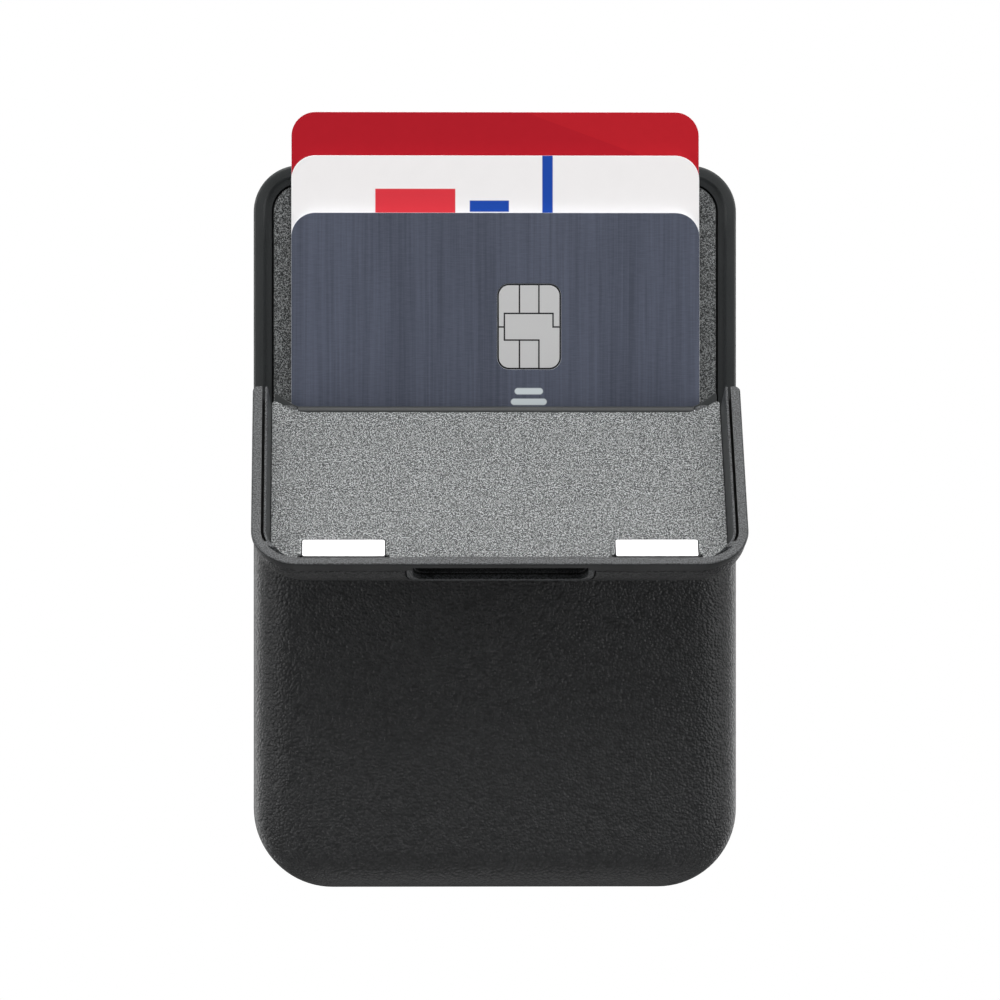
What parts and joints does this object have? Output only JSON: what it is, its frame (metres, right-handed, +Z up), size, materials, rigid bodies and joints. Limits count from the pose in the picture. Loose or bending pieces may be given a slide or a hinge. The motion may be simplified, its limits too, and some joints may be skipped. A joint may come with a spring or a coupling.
{
  "type": "card holder",
  "caption": "Magnetic phone-back card wallet with a leather-covered pocket, a flip-down front door and a fan of bank cards.",
  "frame": {"origin": "centre of the magnet ring on the flat back face that lies on the phone", "axes": "+Z up towards the open end of the pocket, +Y out of the back face towards the phone, front faces -Y"},
  "size_m": [0.064, 0.0354, 0.1026],
  "materials": {
    "shell_plastic": "satin black moulded plastic, fine spark texture",
    "door_plastic": "satin dark grey moulded plastic",
    "liner_plastic": "coarse speckled dark grey texture",
    "back_skin": "soft-touch black, very fine grain",
    "leather": "near-black pebbled leather, semi-matt",
    "magnet": "bright plated bar",
    "steel": "brushed",
    "card_red": "printed card, satin gloss",
    "card_white": "printed card, satin gloss",
    "card_grey": "printed card, brushed look",
    "chip_metal": "satin contact plate"
  },
  "bodies": {
    "wallet": {"back_pad": "back_skin", "rear_shell": "shell_plastic", "ring_magnet_01": "magnet", "ring_magnet_02": "magnet", "ring_magnet_03": "magnet", "ring_magnet_04": "magnet", "ring_magnet_05": "magnet", "ring_magnet_06": "magnet", "ring_magnet_07": "magnet", "ring_magnet_08": "magnet", "ring_magnet_09": "magnet", "ring_magnet_10": "magnet", "ring_magnet_11": "magnet", "ring_magnet_12": "magnet", "ring_magnet_13": "magnet", "ring_magnet_14": "magnet", "ring_magnet_15": "magnet", "ring_magnet_16": "magnet", "alignment_magnet": "magnet", "shield_plate": "steel", "pocket_floor": "liner_plastic", "keeper_left": "steel", "keeper_right": "steel", "front_panel": "shell_plastic", "front_leather": "leather", "card_spring": "steel", "spring_rivet_left": "steel", "spring_rivet_right": "steel", "hinge_pin_left": "steel", "hinge_pin_right": "steel"},
    "door": {"door_frame": "door_plastic", "door_liner": "liner_plastic", "door_leather": "leather", "door_magnet_left": "magnet", "door_magnet_right": "magnet"},
    "card_red": {"card_red": "card_red"},
    "card_white": {"card_white": "card_white"},
    "card_grey": {"card_grey": "card_grey", "card_chip": "chip_metal"}
  },
  "joints": [
    {"name": "door_hinge", "type": "hinge", "parent": "wallet", "child": "door", "pos_m": [0, -0.0086, 0.00116], "axis": [1, 0, 0], "range_deg": [-135, 0]},
    {"name": "card_red_slide", "type": "slide", "parent": "wallet", "child": "card_red", "axis": [0, 0, 1], "range_m": [-0.01442, 0]},
    {"name": "card_white_slide", "type": "slide", "parent": "wallet", "child": "card_white", "axis": [0, 0, 1], "range_m": [-0.00862, 0]},
    {"name": "card_grey_slide", "type": "slide", "parent": "wallet", "child": "card_grey", "axis": [0, 0, 1], "range_m": [-0.00102, 0]}
  ],
  "couplings": [
    {"joint": "card_red_slide", "follows": "door_hinge", "m_per_rad": 0.0061115},
    {"joint": "card_white_slide", "follows": "door_hinge", "m_per_rad": 0.00365},
    {"joint": "card_grey_slide", "follows": "door_hinge", "m_per_rad": 0.0004244}
  ]
}
